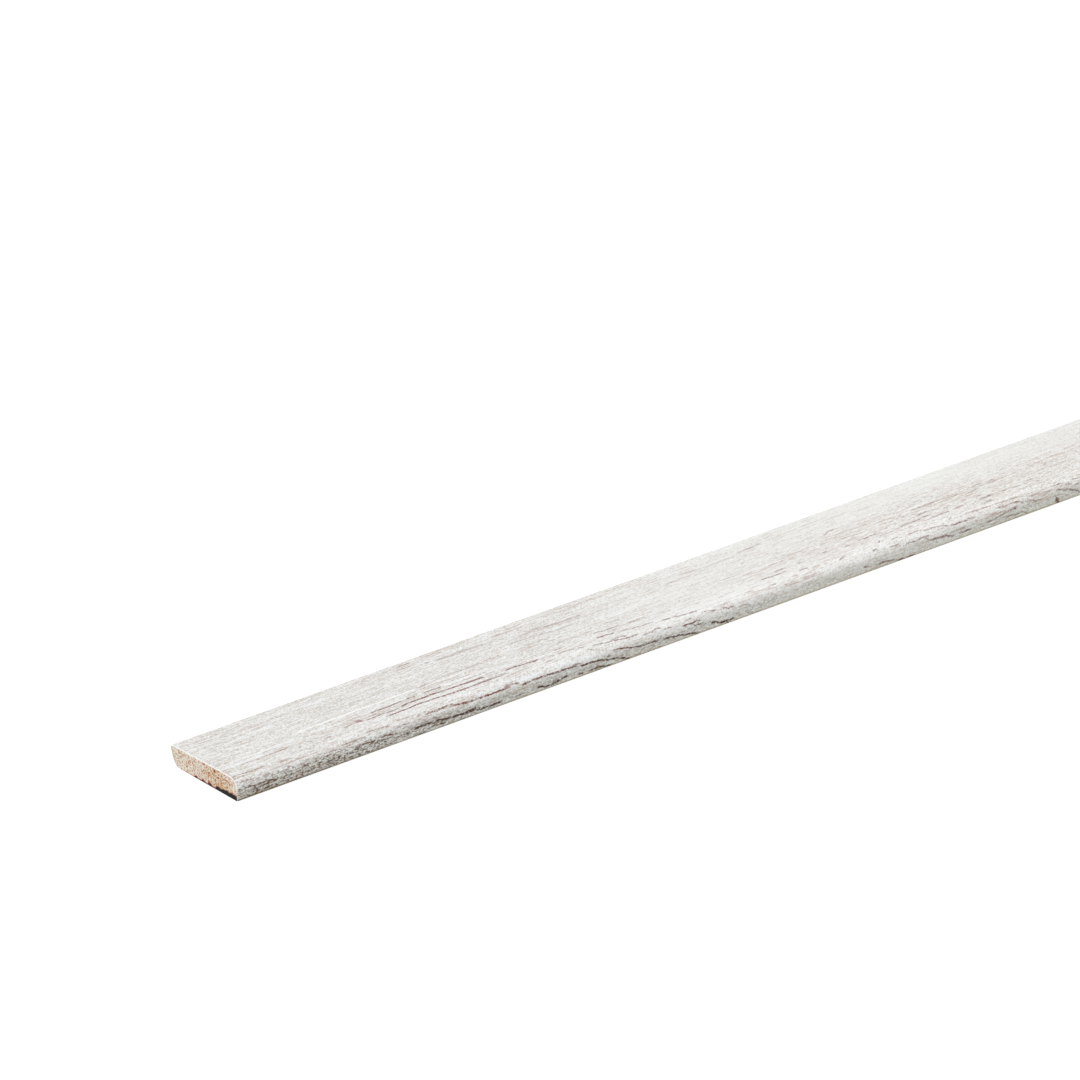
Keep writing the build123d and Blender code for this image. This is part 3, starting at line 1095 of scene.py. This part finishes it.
def raw_back_material():
    """The board's bare back: sanded fibreboard with fine pale and dark fibres, brown along the nose with
    painted shade.
    """
    recipe = Recipe(bpy.data.materials.new("bare_fibreboard"))
    place = recipe.place()
    _, y, _ = recipe.split(place)
    clouds = recipe.ramp(recipe.noise(place, (60, 30, 30), 2.2, detail=3), 0.35, 0.7)
    fibres = recipe.ramp(recipe.noise(place, (2.4, 0.5, 0.5), 5.5, detail=3, roughness=0.7), 0.35, 0.7)
    dots = recipe.ramp(recipe.noise(place, (1.2, 0.9, 0.9), 7.1), 0.6, 0.74)
    color = recipe.blend(recipe.times(clouds, 0.6), BACK_TAN, BACK_CLOUD)
    color = recipe.blend(recipe.times(fibres, 0.35), color, BACK_FIBRE)
    color = recipe.blend(recipe.times(dots, 0.45), color, BACK_DOT)
    from_nose = recipe.minus(y, CORE_NOSE / MM)
    # Partly painted shade: the bare strip under the foil's trim is darkened to brown, for its own colour and
    # for the shade of the gap under the foil.
    color = recipe.blend(recipe.ramp(from_nose, 0.1, 0.3, 0.7, 0.0), color, HEM_BROWN)
    return recipe.finish(color, 0.8, fibres, bump_distance=0.05 * MM, specular=0.25)


def add_piece(mesh, materials, node):
    """Shows a mesh in place of a CAD node, riding where the node does."""
    piece = bpy.data.objects.new(mesh.name, mesh)
    bpy.context.scene.collection.objects.link(piece)
    for material in materials:
        mesh.materials.append(material)
    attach(piece, "root")
    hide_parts(node)


# Stage: floor, light and camera

FLOOR_SIDE = 60
FLOOR_WHITE = 0.6
FLOOR_LIFT = 0.5
SKY_LEVEL = 0.3
KEY_STRENGTH = 2.86
KEY_DIRECTION = (-0.6, -0.19, 0.77)
KEY_ANGLE = 50


def seen_directly(recipe):
    """1 for rays from the camera, in reflections and through glass, and 0 for light."""
    path = recipe.wire("ShaderNodeLightPath", {})
    seen = recipe.math("MAXIMUM", path["Is Camera Ray"], path["Is Glossy Ray"])
    return recipe.math("MAXIMUM", seen, path["Is Transmission Ray"])


def add_floor():
    """A pale matt floor that looks white and keeps the board's shadow."""
    recipe = Recipe(bpy.data.materials.new("floor_white"))
    matt = recipe.wire("ShaderNodeBsdfDiffuse", {"Color": (FLOOR_WHITE, FLOOR_WHITE, FLOOR_WHITE, 1)})
    lift = recipe.times(seen_directly(recipe), FLOOR_LIFT)
    glow = recipe.wire("ShaderNodeEmission", {"Strength": lift})
    both = recipe.wire("ShaderNodeAddShader", {0: matt[0], 1: glow[0]})
    recipe.wire("ShaderNodeOutputMaterial", {0: both[0]})
    half = FLOOR_SIDE / 2
    corners = [(-half, -half, 0), (half, -half, 0), (half, half, 0), (-half, half, 0)]
    mesh = bpy.data.meshes.new("floor")
    mesh.from_pydata(corners, [], [(0, 1, 2, 3)])
    mesh.materials.append(recipe.owner)
    floor = bpy.data.objects.new("floor", mesh)
    bpy.context.scene.collection.objects.link(floor)


def add_light():
    """Soft even light from all round, and one large soft lamp high on the near end's side."""
    recipe = Recipe(bpy.data.worlds.new("studio"))
    sky = recipe.wire("ShaderNodeBackground", {"Color": (1, 1, 1, 1), "Strength": SKY_LEVEL})
    white = recipe.wire("ShaderNodeBackground", {"Color": (1, 1, 1, 1), "Strength": 1})
    either = recipe.wire("ShaderNodeMixShader", {0: seen_directly(recipe), 1: sky[0], 2: white[0]})
    recipe.wire("ShaderNodeOutputWorld", {0: either[0]})
    bpy.context.scene.world = recipe.owner
    lamp = bpy.data.lights.new("key", "SUN")
    lamp.energy = KEY_STRENGTH
    lamp.angle = math.radians(KEY_ANGLE)
    key = bpy.data.objects.new("key", lamp)
    key.rotation_euler = Vector(KEY_DIRECTION).to_track_quat("Z", "Y").to_euler()
    bpy.context.scene.collection.objects.link(key)


def add_camera():
    """The photograph's camera: the near corner of the back lands on its pixel, at its distance."""
    turn, tilt = math.radians(VIEW_AZIMUTH), math.radians(VIEW_ELEVATION)
    right = Vector((math.cos(turn), math.sin(turn), 0))
    back = Vector((math.sin(turn) * math.cos(tilt), -math.cos(turn) * math.cos(tilt), math.sin(tilt)))
    up = back.cross(right)
    middle = PHOTO_SIDE / 2
    aside = (CORNER_PIXEL[0] - middle) / FOCAL_PIXELS
    down = (CORNER_PIXEL[1] - middle) / FOCAL_PIXELS
    corner = Vector((NEAR_END, cad_low[1], 0))
    lens = bpy.data.cameras.new("photo_view")
    lens.sensor_width = SENSOR_WIDTH
    lens.lens = SENSOR_WIDTH * FOCAL_PIXELS / PHOTO_SIDE
    lens.clip_end = VIEW_REACH
    camera = bpy.data.objects.new("photo_view", lens)
    camera.matrix_world = Matrix((right, up, back)).transposed().to_4x4()
    camera.location = corner - (right * aside - up * down - back) * CORNER_DEPTH
    bpy.context.scene.collection.objects.link(camera)
    bpy.context.scene.camera = camera


add_piece(foil_mesh(), [foil_print_material(), foil_paper_material()], "decor_foil")
add_piece(core_mesh(), [sawn_end_material(), raw_back_material()], "fibreboard_core")
add_floor()
add_light()
add_camera()
bpy.context.scene.view_settings.view_transform = "Standard"
